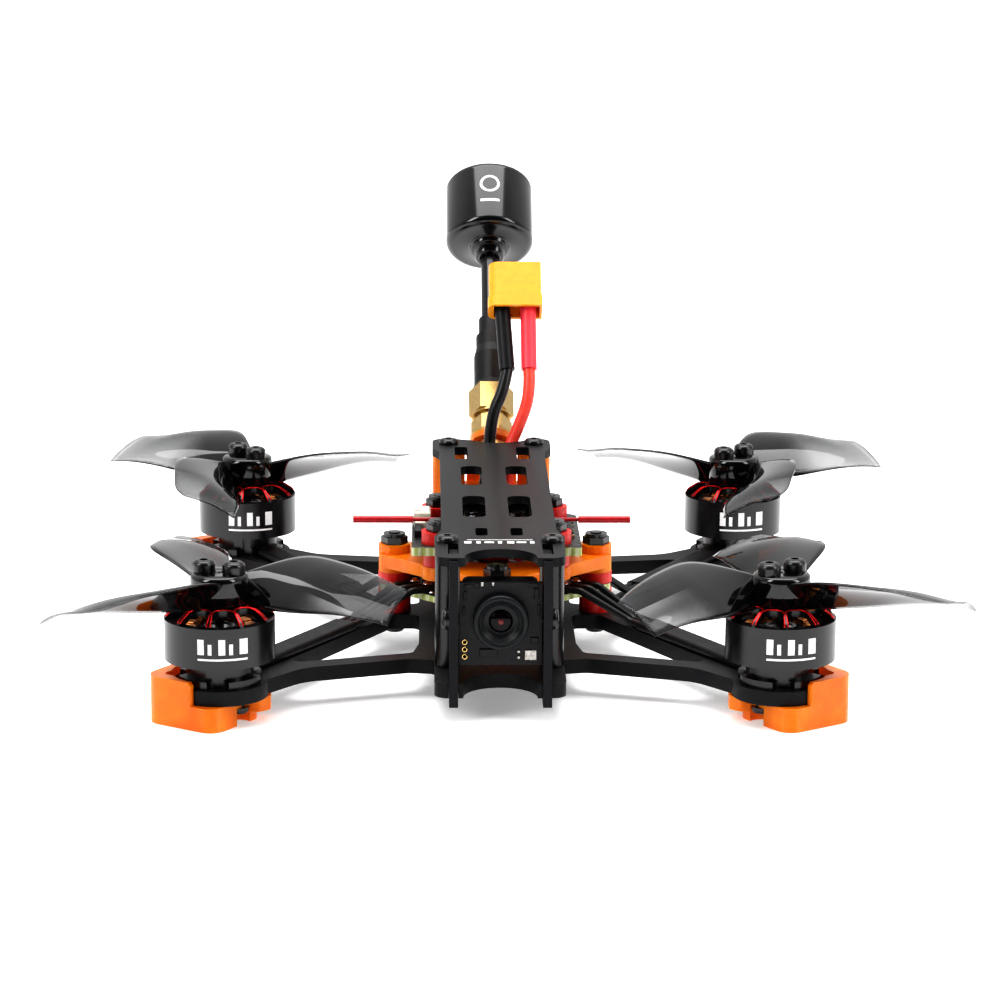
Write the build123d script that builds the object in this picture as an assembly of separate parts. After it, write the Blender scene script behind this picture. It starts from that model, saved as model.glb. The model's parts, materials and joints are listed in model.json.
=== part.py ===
from build123d import *
import math
import os

# FPV racing drone, 2.5 inch class. Millimetres, +Z up, nose towards -Y.
# Heights in the model count from the lower rim of the motor bells; every part is
# moved by SHIFT at the end, so that the feet stand on z = 0.

SHIFT = (-1.62, -14.42, 10.6)      # from the modelling frame to the part's own frame

MOTOR_X = 46.6                    # motor axes, from the centre of the frame
MOTOR_Y = 46.6
PLATE_Z = -6.5                    # underside of the bottom plate
PLATE_T = 2.5
STANDOFF_H = 20.0
TOP_T = 1.5
DECK_Z = PLATE_Z + PLATE_T        # upper face of the bottom plate
TOP_Z = DECK_Z + STANDOFF_H       # underside of the top plate

NOSE_Y = -49.4
TAIL_Y = 47.8
PAD_R = 8.0                       # motor pads
WALL_TOP = -2.5                   # top of the bumpers' walls
FRONT_SCREW = (8.8, -37.6)        # standoff positions, half pattern
REAR_SCREW = (8.1, 42.45)
STANDOFF_R = 2.1
SCREW_R = 1.0                     # M2 shank
HOLE_R = 1.05
HEAD_R = 1.8

CAM_PLATE_X = 7.05                # inner faces of the camera side plates
CAM_PLATE_T = 1.5
CAM_AXIS = (-44.4, 5.8)           # tilt axis, y and z
CAM_W = 13.7

STACK = 18.03                     # 25.5 mm pattern turned 45 degrees
VTX = 10.0                        # 20 mm pattern, half
PADS = [(15.6, 4.6), (13.3, 6.9), (11.0, 9.2)]   # solder pads of one motor's wires
AIO_Z = 0.2
AIO_T = 1.1
ADAPT_Z = 4.4
ADAPT_TOP = 6.7
VTX_Z = 9.3
VTX_T = 1.5

BELL_R = 9.2
BELL_H = 6.9
BELL_TOP = 9.1
STATOR_R = 7.0
SHAFT_R = 0.75
HUB_R = 4.8
HUB_TOP = 14.4
PROP_SCREW = 2.6                  # half the spacing of the two propeller screws
SLEEVE = (0.507, 0.862)           # direction of the wire bundles on the diagonal struts
SLEEVE_AT = (23.9, 9.2)           # a point on a bundle's centreline
PROP_TURN = {"fl": 352.3, "fr": 203.2, "rl": 125.8, "rr": 44.8}
PROP_DIR = {"fl": 1, "fr": -1, "rl": -1, "rr": 1}

ANT_BASE = (0.25, 53.5, 18.9)     # centre of the washer under the antenna nut
ANT_LEAN = 44.0                   # degrees back from the vertical
CAP_R = 8.7

LEAD_D = 2.3
SHRINK_D = 3.0

# one propeller blade along +X, turning counter-clockwise:
# radius, leading edge (y, z), trailing edge (y, z), thickness
BLADE = [
    (3.6, (3.2, 13.4), (-1.0, 9.7), 1.5),
    (9.0, (5.9, 14.9), (-3.2, 9.6), 1.1),
    (14.0, (7.0, 15.5), (-5.7, 9.6), 0.9),
    (19.0, (5.6, 15.3), (-8.1, 9.8), 0.8),
    (24.0, (2.9, 14.6), (-10.3, 9.9), 0.7),
    (28.0, (0.3, 13.8), (-11.8, 9.7), 0.6),
]
BLADE_TIP = ((32.0, -3.6, 13.2), (30.0, -12.6, 9.4), 0.5)

os.makedirs("parts", exist_ok=True)
MOTORS = {"fl": (-1, -1), "fr": (1, -1), "rl": (-1, 1), "rr": (1, 1)}


def put(shape, name):
    """Write one piece, or several separate solids of one node, in the part's own frame."""
    pieces = shape if isinstance(shape, list) else [shape]
    solids = [s.moved(Location(SHIFT)) for piece in pieces for s in piece.solids()]
    export_step(solids[0] if len(solids) == 1 else Compound(solids), f"parts/{name}.step")


def cyl(x, y, z0, z1, r):
    return Pos(x, y, (z0 + z1) / 2) * Cylinder(r, z1 - z0)


def box(x0, x1, y0, y1, z0, z1):
    return Pos((x0 + x1) / 2, (y0 + y1) / 2, (z0 + z1) / 2) * Box(x1 - x0, y1 - y0, z1 - z0)


def ring(x, y, z0, z1, r_out, r_in):
    return cyl(x, y, z0, z1, r_out) - cyl(x, y, z0 - 1, z1 + 1, r_in)


def outline(points, radii, z0, z1):
    """Closed outline with one radius per corner, extruded from z0 to z1."""
    loop = FilletPolyline(*points, radius=radii, close=True)
    return Pos(0, 0, z0) * extrude(make_face(loop.edges()), z1 - z0)


def four(x, y):
    return [(x, y), (-x, y), (-x, -y), (x, -y)]


def both(points):
    """A right half outline, front to back, closed by its mirror image."""
    return points + [(-x, y) for x, y in reversed(points)]


# ---------------------------------------------------------------- frame plates
def bottom_plate():
    z0, z1 = PLATE_Z, DECK_Z
    half = [(11.0, NOSE_Y), (11.0, -34.4), (15.0, -33.6), (33.0, -39.4), (38.8, -46.6), (46.6, -53.0),
            (53.2, -46.6), (48.2, -40.0), (39.3, -30.2), (22.6, -2.6), (22.6, 2.6), (39.3, 30.2),
            (48.2, 40.0), (53.2, 46.6), (46.6, 53.0), (38.8, 47.2), (33.0, 42.4), (15.0, 39.4),
            (11.2, 40.4), (11.2, TAIL_Y)]
    radii = [2.4, 0.8, 3.0, 8.0, 1.5, 3.0, 3.0, 1.5, 12.0, 4.0, 4.0, 12.0,
             1.5, 3.0, 3.0, 1.5, 8.0, 3.0, 0.8, 2.8]
    body = outline(both(half), radii + radii[::-1], z0, z1)
    for sx, sy in MOTORS.values():
        body += cyl(sx * MOTOR_X, sy * MOTOR_Y, z0, z1, PAD_R)
    for sx in (1, -1):
        body += cyl(sx * STACK, 0, z0, z1, 4.4)
        front = [(13.6, -4.0), (13.6, -23.5), (14.6, -29.6), (36.6, -36.4), (18.6, -4.0)]
        rear = [(13.6, 4.0), (13.6, 26.0), (14.6, 35.0), (36.8, 38.4), (18.6, 4.0)]
        for tri in (front, rear):
            pts = [(sx * x, y) for x, y in tri]
            body -= outline(pts, [1.5, 2.5, 1.5, 1.5, 1.5], z0 - 1, z1 + 1)
    body -= cyl(0, NOSE_Y + 0.3, z0 - 1, z1 + 1, 6.2)
    body -= cyl(0, TAIL_Y + 8.2, z0 - 1, z1 + 1, 11.2)
    for sx in (1, -1):
        x0 = sx * (CAM_PLATE_X - 0.05)
        x1 = sx * (CAM_PLATE_X + CAM_PLATE_T + 0.05)
        body -= box(min(x0, x1), max(x0, x1), NOSE_Y - 5, -42.6, z0 - 1, z1 + 1)
        body -= cyl(sx * FRONT_SCREW[0], FRONT_SCREW[1], z0 - 1, z1 + 1, HOLE_R)
        body -= cyl(sx * REAR_SCREW[0], REAR_SCREW[1], z0 - 1, z1 + 1, HOLE_R)
    for x, y in ((STACK, 0), (-STACK, 0), (0, STACK), (0, -STACK)):
        body -= cyl(x, y, z0 - 1, z1 + 1, HOLE_R)
    for sx, sy in MOTORS.values():
        body -= cyl(sx * MOTOR_X, sy * MOTOR_Y, z0 - 1, z1 + 1, 2.6)
        for x, y in four(3.18, 3.18):
            body -= cyl(sx * MOTOR_X + x, sy * MOTOR_Y + y, z0 - 1, z1 + 1, HOLE_R)
    return body


def top_plate():
    z0, z1 = TOP_Z, TOP_Z + TOP_T
    half = [(10.6, NOSE_Y - 0.1), (11.0, -34.0), (9.8, -29.0), (9.8, 35.0), (11.2, 38.6), (11.2, TAIL_Y)]
    radii = [2.2, 2.5, 5.0, 2.5, 2.5, 2.8]
    plate = outline(both(half), radii + radii[::-1], z0, z1)
    plate -= cyl(0, NOSE_Y + 0.3, z0 - 1, z1 + 1, 6.0)
    plate -= cyl(1.3, 50.2, z0 - 1, z1 + 1, 6.6)
    plate -= cyl(0, TAIL_Y + 11.4, z0 - 1, z1 + 1, 13.6)
    for sx in (1, -1):
        slots = (((4.6, 28.8), (7.0, 39.6), 0.7), ((2.2, 6.4), (6.0, 22.4), 1.6),
                 ((2.0, -19.4), (6.0, -2.8), 1.6), ((1.95, -33.3), (4.0, -27.8), 0.6),
                 ((7.0, -46.6), (8.75, -39.2), 0.3))
        for (xa, ya), (xb, yb), r in slots:
            pts = [(sx * xa, ya), (sx * xb, ya), (sx * xb, yb), (sx * xa, yb)]
            plate -= outline(pts, [r] * 4, z0 - 1, z1 + 1)
        plate -= cyl(sx * FRONT_SCREW[0], FRONT_SCREW[1], z0 - 1, z1 + 1, HOLE_R)
        plate -= cyl(sx * REAR_SCREW[0], REAR_SCREW[1], z0 - 1, z1 + 1, HOLE_R)
    return plate


def camera_plate(sx):
    """Side plate: front edge in front of both decks, tabs through their slots."""
    y0, y1 = -50.2, -40.1
    x0 = sx * CAM_PLATE_X
    x1 = sx * (CAM_PLATE_X + CAM_PLATE_T)
    xa, xb = min(x0, x1), max(x0, x1)
    plate = box(xa, xb, y0, y1, DECK_Z, TOP_Z)
    plate += box(xa, xb, y0, -42.9, PLATE_Z - 1.4, DECK_Z)
    plate += box(xa, xb, y0, y0 + 0.55, TOP_Z, TOP_Z + 1.0)
    plate += box(xa, xb, -46.3, y1, TOP_Z, TOP_Z + 0.7)
    plate -= Pos(0, CAM_AXIS[0], CAM_AXIS[1]) * Rot(0, 90, 0) * Cylinder(HOLE_R, 40)
    return plate


def standoff(x, y):
    return ring(x, y, DECK_Z, TOP_Z, STANDOFF_R, HOLE_R - 0.02)


def button_screw(x, y, z, up, length, head_r=HEAD_R, head_h=1.1):
    """Button-head screw with its head's seat at z; up is the side the head stands on."""
    head = Cylinder(head_r, head_h, align=(Align.CENTER, Align.CENTER, Align.MIN))
    head = fillet(head.edges().sort_by(Axis.Z)[-1], 0.7)
    head -= Pos(0, 0, head_h - 0.6) * extrude(RegularPolygon(0.7, 6), 1)
    shank = Pos(0, 0, -length / 2) * Cylinder(SCREW_R, length)
    screw = head + shank
    if up < 0:
        screw = Rot(180, 0, 0) * screw
    return Pos(x, y, z) * screw


def plate_screws():
    spots = [(sx * x, y) for x, y in (FRONT_SCREW, REAR_SCREW) for sx in (1, -1)]
    return [button_screw(x, y, TOP_Z + TOP_T, 1, 7) for x, y in spots] + \
           [button_screw(x, y, PLATE_Z, -1, 8) for x, y in spots]


# ---------------------------------------------------------------- bumper feet
def foot(sx, sy):
    """Flexible bumper under one motor pad, with a wall round its outer corner."""
    a = math.radians(56)
    ux, uy = -math.cos(a), -math.sin(a)
    wx, wy = -math.sin(a), math.cos(a)

    def at(u, w):
        return (u * ux + w * wx, u * uy + w * wy)

    base = outline([at(8.9, 9.2), at(8.9, -5.4), at(-4.5, -5.4), at(-4.5, 9.2)],
                   [3.0, 2.6, 2.5, 2.5], -10.6, PLATE_Z)
    base -= cyl(0, 0, -12, 0, 2.9)
    for x, y in four(3.18, 3.18):
        base -= cyl(x, y, -12, 0, HOLE_R)
        base -= cyl(x, y, -12, PLATE_Z - 1.2, 2.0)
    wall = outline([at(8.9, 9.2), at(8.9, -0.6), at(-3.0, -0.6), at(-3.0, 9.2)],
                   [3.0, 0.4, 0.4, 1.6], PLATE_Z, WALL_TOP)
    wall -= cyl(0, 0, PLATE_Z - 1, 0, PAD_R + 0.05)
    wall -= outline([at(6.6, 6.9), at(6.6, -9), at(-9, -9), at(-9, 6.9)], [1.2] * 4, PLATE_Z - 1, 0)
    cut = Pos(0, 0, WALL_TOP) * Rot(0, 0, 146) * Rot(0, -38, 0) * Pos(-5.2, 0, 5) * Box(10, 30, 10)
    wall -= cut
    tail = outline([(-2.0, -1.6), (6.6, -2.6), (8.4, -1.0), (8.4, 2.2), (-2.0, 2.2)],
                   [0.3, 1.2, 1.0, 0.8, 0.3], -8.9, PLATE_Z)
    tail -= cyl(0, 0, -12, 0, 2.9)
    for x, y in four(3.18, 3.18):
        tail -= cyl(x, y, -12, 0, HOLE_R)
        tail -= cyl(x, y, -12, PLATE_Z - 1.2, 2.0)
    shape = base + wall + tail
    if sx > 0:
        shape = mirror(shape, Plane.YZ)
    if sy > 0:
        shape = mirror(shape, Plane.XZ)
    return Pos(sx * MOTOR_X, sy * MOTOR_Y, 0) * shape


# ---------------------------------------------------------------- motors
def motor_base(x, y):
    body = cyl(x, y, DECK_Z, DECK_Z + 1.3, 7.0)
    body += cyl(x, y, DECK_Z, -0.7, 5.6)
    body += cyl(x, y, DECK_Z, 5.4, 2.6)
    body -= cyl(x, y, DECK_Z - 1, 7, 2.0)
    for px, py in four(3.18, 3.18):
        body -= cyl(x + px, y + py, DECK_Z - 1, DECK_Z + 2.2, HOLE_R - 0.02)
    for k in range(4):
        a = math.radians(90 * k)
        body -= cyl(x + 7.3 * math.cos(a), y + 7.3 * math.sin(a), DECK_Z - 1, 0, 1.9)
    return body


def bearings(x, y):
    return [ring(x, y, z, z + 2.0, 1.99, SHAFT_R + 0.03) for z in (DECK_Z + 0.2, 3.2)]


def stator(x, y):
    core = ring(x, y, 0.9, 4.9, 4.0, 2.61)
    for k in range(9):
        tooth = Pos(x, y, 2.9) * Rot(0, 0, 40 * k) * Pos(4.9, 0, 0) * Box(2.4, 1.5, 4.0)
        core += tooth
    shoe = ring(x, y, 0.9, 4.9, STATOR_R, 6.0)
    for k in range(9):
        shoe -= Pos(x, y, 2.9) * Rot(0, 0, 40 * k + 20) * Pos(6.5, 0, 0) * Box(3, 0.7, 5)
    return core + shoe


def windings(x, y):
    coils = []
    for k in range(9):
        coil = Box(1.6, 2.5, 5.6) - Box(3, 1.52, 4.02)
        coil = fillet(coil.edges().filter_by(Axis.X).sort_by(Axis.Z)[-2:], 0.5)
        coils.append(Pos(x, y, 2.9) * Rot(0, 0, 40 * k) * Pos(4.98, 0, 0) * coil)
    return coils


def motor_screws():
    out = []
    for sx, sy in MOTORS.values():
        for px, py in four(3.18, 3.18):
            out.append(button_screw(sx * MOTOR_X + px, sy * MOTOR_Y + py, PLATE_Z - 1.2, -1, 5.4, 1.75, 1.1))
    return out


def bell(x, y, turn):
    """Spinning bell with ten arched windows in its shoulder, and the shaft it is pressed on."""
    pts = [(0, 6.9), (3.2, 6.9), (3.6, 7.9), (6.3, 7.8), (8.5, 6.3), (8.5, 0), (BELL_R, 0),
           (BELL_R, BELL_H), (8.6, 7.7), (6.9, 8.8), (5.4, BELL_TOP), (0, BELL_TOP)]
    face = make_face(Plane.XZ * Polyline(*pts, close=True))
    body = revolve(face, Axis.Z, 360)
    arch = SlotCenterToCenter(12.0, 3.9)
    for k in range(10):
        window = Pos(0, 0, BELL_H) * Rot(0, 0, 36 * k + 6) * Pos(12.6, 0, 0) * extrude(arch, 5)
        body -= window
        wedge = Pos(0, 0, BELL_H) * Rot(0, 0, 36 * k + 6) * extrude(
            make_face(Polyline((6.6, -1.95), (9.6, -2.75), (9.6, 2.75), (6.6, 1.95), close=True)), 5)
        body -= wedge
    for s in (1, -1):
        body -= cyl(s * PROP_SCREW, 0, 6, 10, HOLE_R)
    body += cyl(0, 0, -3.9, 13.6, SHAFT_R)
    return Pos(x, y, 0) * Rot(0, 0, turn) * body


def magnets(x, y):
    block = ring(0, 0, 0.7, 5.7, 8.48, 7.3)
    gaps = [Rot(0, 0, 30 * k) * Pos(8, 0, 3) * Box(4, 0.5, 10) for k in range(12)]
    return [Pos(x, y, 0) * s for s in (block - gaps).solids()]


def blade():
    """Twisted, swept blade with a slanted tip, lofted through thin cambered sections."""
    sections = []
    rows = [((r, *lead), (r, *trail), t) for r, lead, trail, t in BLADE] + [BLADE_TIP]
    for lead, trail, t in rows:
        a, b = Vector(*trail), Vector(*lead)
        chord = b - a
        spine = Vector(1, 0, 0)
        out = spine.cross(chord).normalized()
        rise = 0.075 * chord.length
        mid = (a + b) * 0.5
        e = out * (t * 0.2)
        top = ThreePointArc(a + e, mid + out * (rise + t * 0.5), b + e)
        low = ThreePointArc(b - e, mid + out * (rise - t * 0.5), a - e)
        wire = Wire([top, Line(b + e, b - e), low, Line(a - e, a + e)])
        sections.append(wire)
    return Solid.make_loft(sections)


def propeller(x, y, turn, hand):
    hub = cyl(0, 0, BELL_TOP + 0.02, HUB_TOP, HUB_R)
    hub = fillet(hub.edges().sort_by(Axis.Z)[-1], 0.4)
    for k in range(3):
        hub += Rot(0, 0, 120 * k) * blade()
    hub -= cyl(0, 0, 5, 20, SHAFT_R + 0.03)
    a = math.radians(-7)
    for s in (1, -1):
        hub -= cyl(s * PROP_SCREW * math.cos(a), s * PROP_SCREW * math.sin(a), 5, 20, HOLE_R)
    if hand < 0:
        hub = mirror(hub, Plane.XZ)
    return Pos(x, y, 0) * Rot(0, 0, turn) * hub


def prop_screws(x, y, turn, hand):
    out = []
    for s in (1, -1):
        head = Cylinder(1.9, 2.0, align=(Align.CENTER, Align.CENTER, Align.MIN))
        head = fillet(head.edges().sort_by(Axis.Z)[-1], 0.9)
        head -= Pos(0, 0, 1.1) * extrude(RegularPolygon(0.75, 6), 2)
        screw = head + Pos(0, 0, -3.4) * Cylinder(SCREW_R, 6.8)
        out.append(Pos(s * PROP_SCREW, 0, HUB_TOP) * screw)
    return [Pos(x, y, 0) * Rot(0, 0, turn - 7 * hand) * o for o in out]


def wire_tube(points, radii, r):
    path = FilletPolyline(*points, radius=radii)
    start = Plane(origin=path @ 0, z_dir=path % 0)
    return sweep(start * Circle(r), path=path)


def bundle(along_mm, across_mm):
    """A point over the right rear strut, along and across the wire bundle."""
    dx, dy = SLEEVE
    return (SLEEVE_AT[0] + along_mm * dx + across_mm * dy, SLEEVE_AT[1] + along_mm * dy - across_mm * dx)


def motor_wires():
    """Three phase wires per motor, from the board's pads down to the sleeve on the strut."""
    out = []
    for sx, sy in MOTORS.values():
        for k, (px, py) in enumerate(PADS):
            over = (px + 2.6 + 0.6 * k, py + 1.4 - 0.35 * k)
            down = bundle(1.0 * k, 1.45 * (1 - k))
            end = bundle(5.2, 1.45 * (1 - k))
            pts = [(px, py, 2.0), (*over, 1.95), (*down, -3.15), (*end, -3.15)]
            pts = [(sx * a, sy * b, c) for a, b, c in pts]
            out.append(wire_tube(pts, [1.6, 1.9], 0.62))
    return out


def wire_sleeves():
    """Flat sleeve over each bundle, along the strut to the motor's base."""
    out = []
    length = 31.2
    a = math.degrees(math.atan2(SLEEVE[1], SLEEVE[0]))
    for sx, sy in MOTORS.values():
        tube = Box(length, 4.7, 1.6)
        tube = fillet(tube.edges().filter_by(Axis.X), 0.7)
        tube = Pos(*bundle(5.2 + length / 2, 0), -3.18) * Rot(0, 0, a) * tube
        if sx < 0:
            tube = mirror(tube, Plane.YZ)
        if sy < 0:
            tube = mirror(tube, Plane.XZ)
        out.append(tube)
    return out


# ---------------------------------------------------------------- electronics stack
def spool(x, y, z0, zn0, zn1, z1, r=2.9, r_hi=2.9, r_neck=1.9):
    body = cyl(x, y, z0, zn0, r) + cyl(x, y, zn0, zn1, r_neck) + cyl(x, y, zn1, z1, r_hi)
    return body - cyl(x, y, z0 - 1, z1 + 1, HOLE_R)


def stack_spots():
    return [(STACK, 0), (-STACK, 0), (0, STACK), (0, -STACK)]


def lock_nut(x, y, z):
    nut = Pos(x, y, z) * extrude(RegularPolygon(2.4, 6), 1.3)
    nut += cyl(x, y, z + 1.3, z + 1.9, 1.95)
    return nut - cyl(x, y, z - 1, z + 4, HOLE_R - 0.02)


def aio_board():
    pts = [(20.6, 1.8), (20.6, -1.8), (1.8, -20.6), (-1.8, -20.6),
           (-20.6, -1.8), (-20.6, 1.8), (-1.8, 20.6), (1.8, 20.6)]
    board = outline(pts, [1.0] * 8, AIO_Z, AIO_Z + AIO_T)
    for x, y in stack_spots():
        board -= cyl(x, y, AIO_Z - 1, AIO_Z + 3, 1.91)
    return board


def aio_components():
    z = AIO_Z + AIO_T
    out = [box(-3.5, 3.5, -3.5, 3.5, z, z + 1.0), box(-7.0, -4.0, 4.5, 7.5, z, z + 0.9),
           box(5.0, 8.4, -5.0, -2.0, z, z + 0.9)]
    for sx, sy in MOTORS.values():
        out += [cyl(sx * (px - 1.2), sy * (py - 1.2), z, z + 0.7, 0.95) for px, py in PADS]
        out.append(Pos(sx * 8.2, sy * 8.2, z + 0.45) * Rot(0, 0, 45) * Box(3.0, 3.0, 0.9))
    return out


def usb_port():
    z = AIO_Z + AIO_T
    shell = Pos(-10.2, 0, z + 1.35) * Box(5.8, 7.4, 2.7)
    return shell - Pos(-11.0, 0, z + 1.35) * Box(5.8, 6.6, 1.9)


def tpu_adapter():
    pts = [(20.6, 2.0), (20.6, -2.0), (2.2, -20.9), (-2.2, -20.9),
           (-20.6, -2.0), (-20.6, 2.0), (-2.2, 20.9), (2.2, 20.9)]
    body = outline(pts, [1.2, 1.2, 0.8, 0.8, 1.2, 1.2, 0.8, 0.8], ADAPT_Z, ADAPT_TOP)
    for x, y in four(VTX, VTX):
        body += cyl(x, y, ADAPT_Z, ADAPT_TOP, 3.1)
    body -= cyl(0, 0, 0, 12, 9.2)
    for x, y in stack_spots():
        top = 8.3 if y == 0 else ADAPT_TOP
        body += cyl(x, y, 3.3, top, 2.8)
    for x, y in stack_spots():
        body -= cyl(x, y, 0, 12, HOLE_R)
    for x, y in four(VTX, VTX):
        body -= cyl(x, y, 0, 12, HOLE_R)
        body -= cyl(x, y, 0, ADAPT_Z + 0.7, 2.0)
    return body


def vtx_board():
    pts = [(14.9, 11.2), (14.9, -14.3), (-14.9, -14.3), (-14.9, 11.2), (-12.9, 13.2), (12.9, 13.2)]
    board = outline(pts, [0.6] * 6, VTX_Z, VTX_Z + VTX_T)
    for k in range(-9, 10):
        if abs(k) % 2 == 1:
            board -= box(k * 1.45 - 0.3, k * 1.45 + 0.3, -15, -13.9, VTX_Z - 1, VTX_Z + 3)
    for x, y in four(VTX, VTX):
        board -= cyl(x, y, VTX_Z - 1, VTX_Z + 3, 1.91)
    return board


def vtx_components():
    z = VTX_Z + VTX_T
    return [box(-6.4, 6.4, -11.5, 5.8, z, z + 1.6), box(-6.2, 6.2, 6.4, 12.6, z, z + 4.4), box(-14.4, -11.7, 1.6, 6.6, z, z + 2.6),
            box(-14.4, -13.2, -6.5, 0.0, z, z + 1.2), box(12.9, 13.7, -6.0, 5.0, z, z + 0.8),
            cyl(8.4, 3.2, z, z + 1.2, 1.0)]


def receiver():
    z = VTX_Z + VTX_T + 1.6
    board = box(-5.5, 5.5, -3.8, 5.2, z, z + 0.9)
    rod = Pos(0, -4.6, 13.65) * Rot(0, 90, 0) * Cylinder(0.35, 30.0)
    tail = Pos(-20.0, -4.6, 13.65) * Rot(0, 90, 0) * Cylinder(0.62, 10.6)
    tip = Pos(19.2, -4.6, 13.65) * Rot(0, 90, 0) * Cylinder(0.62, 9.2)
    feed = box(-1.0, 1.0, -4.9, -3.8, 12.6, 13.9)
    return board, rod + tail + tip + feed


# ---------------------------------------------------------------- camera
def camera():
    y, z = CAM_AXIS
    w = CAM_W / 2
    board = box(-w, w, -47.6, -46.6, z - 7.05, z + 7.05)
    house = box(-w + 0.5, w - 0.5, -46.6, -39.8, z - 6.2, z + 6.2)
    house = fillet(house.edges().filter_by(Axis.Y), 1.0)
    house += Pos(0, y, z) * Rot(0, 90, 0) * Cylinder(2.1, CAM_W)
    house -= Pos(0, y, z) * Rot(0, 90, 0) * Cylinder(HOLE_R, 40)
    barrel = Pos(0, -48.7, z + 0.6) * Rot(90, 0, 0) * Cylinder(4.45, 2.2)
    barrel -= Pos(0, -49.4, z + 0.6) * Rot(90, 0, 0) * Cylinder(3.6, 1.2)
    glass = Pos(0, -49.1, z + 0.6) * Rot(90, 0, 0) * Cylinder(3.55, 0.58)
    screws = []
    for sx in (1, -1):
        x = sx * (CAM_PLATE_X + CAM_PLATE_T)
        screws.append(Pos(x, y, z) * Rot(0, 90 * sx, 0) * button_screw(0, 0, 0, 1, 4.5, 1.75, 1.2))
    return board, house, barrel, glass, screws


# ---------------------------------------------------------------- antenna
def along(s0, s1, r, r1=None):
    """A cylinder or cone on the antenna's axis between two distances from the washer."""
    a = Align.MIN
    body = Cylinder(r, s1 - s0, align=(Align.CENTER, Align.CENTER, a)) if r1 is None else \
        Cone(r, r1, s1 - s0, align=(Align.CENTER, Align.CENTER, a))
    return Pos(*ANT_BASE) * Rot(-ANT_LEAN, 0, 0) * Pos(0, 0, s0) * body


def hexa(s0, s1, r):
    return Pos(*ANT_BASE) * Rot(-ANT_LEAN, 0, 0) * Pos(0, 0, s0) * extrude(RegularPolygon(r, 6), s1 - s0)


def antenna_mount():
    """Sleeves on the rear standoffs, a low bridge under the battery lead and a tilted collar."""
    x, y = REAR_SCREW
    body = box(-x, x, y - 1.8, y + 3.4, 6.4, 9.6)
    for sx in (1, -1):
        body += cyl(sx * x, y, 6.4, TOP_Z - 0.1, 3.1)
    body += box(-4.6, 4.9, y + 3.4, 52.6, 6.4, 11.0)
    body += box(-4.6, 4.9, 47.2, 54.6, 10.0, 15.6)
    body += along(-4.6, -3.2, 4.2)
    body -= Pos(*ANT_BASE) * Rot(-ANT_LEAN, 0, 0) * Pos(0, 0, 1.8) * Box(30, 30, 10)
    body -= Pos(0, 55.4, 3.8) * Rot(-28, 0, 0) * Box(30, 8, 14)
    for sx in (1, -1):
        body -= cyl(sx * x, y, 0, TOP_Z + 1, STANDOFF_R + 0.02)
    body -= along(-12, 2, 3.2)
    return body


def antenna():
    jack = along(-6.0, 3.0, 3.18)
    nut = hexa(-2.6, 0.6, 3.95) + along(-3.2, -2.6, 4.2) - along(-4, 4, 3.22)
    coupling = hexa(2.0, 7.7, 4.35) + along(1.5, 2.2, 3.8)
    coupling -= along(0, 3.1, 3.22) + along(0, 9.0, 1.85)
    sleeve = along(7.8, 9.0, 3.7, 3.3) + along(9.0, 15.6, 3.3) + along(15.6, 17.6, 3.3, 2.85)
    sleeve += along(17.6, 20.3, 2.85) + along(20.3, 24.4, 2.3)
    sleeve -= along(6, 30, 1.78)
    stem = along(3.0, 43.0, 1.75)
    cap = along(42.2, 57.2, CAP_R)
    cap = fillet(cap.edges().filter_by(GeomType.CIRCLE), 1.5)
    cap += along(41.0, 42.4, 3.9) + along(39.2, 41.2, 2.9)
    cap -= along(30, 43.02, 1.78)
    return [jack, nut], coupling, sleeve, stem, cap


def coax_pigtail():
    pts = [(1.4, 12.8, 11.7), (1.1, 22.0, 12.0), (1.0, 33.0, 11.0), (0.95, 42.0, 10.9),
           (0.55, 45.6, 11.2), (0.25, 49.3, 14.53)]
    return wire_tube(pts, arc_radii(pts), 0.6)


# ---------------------------------------------------------------- battery lead
def arc_radii(pts):
    vs = [Vector(*p) for p in pts]
    out = []
    for a, b, c in zip(vs, vs[1:], vs[2:]):
        u, v = b - a, c - b
        half = math.radians(u.get_angle(v)) / 2
        out.append(0.45 * min(u.length, v.length) / math.tan(half))
    return out


LEAD_BLACK = [(-4.6, 14.0, 2.6), (-4.3, 22.0, 3.0), (-3.1, 29.4, 5.4), (-1.6, 36.8, 8.4),
              (-0.5, 45.2, 14.2), (0.2, 46.2, 22.6), (2.4, 46.9, 27.0), (3.1, 49.0, 30.6)]
LEAD_RED = [(4.6, 14.0, 2.6), (4.7, 22.0, 3.0), (4.2, 29.4, 5.4), (3.4, 36.8, 8.4),
            (2.6, 45.2, 14.2), (6.0, 46.2, 21.8), (7.45, 46.9, 26.6), (7.3, 49.0, 30.7)]
XT_BASE = (4.7, 54.5, 40.9)
XT_LEAN = 40.0
XT_PITCH = 5.0
XT_L = 9.7


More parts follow.
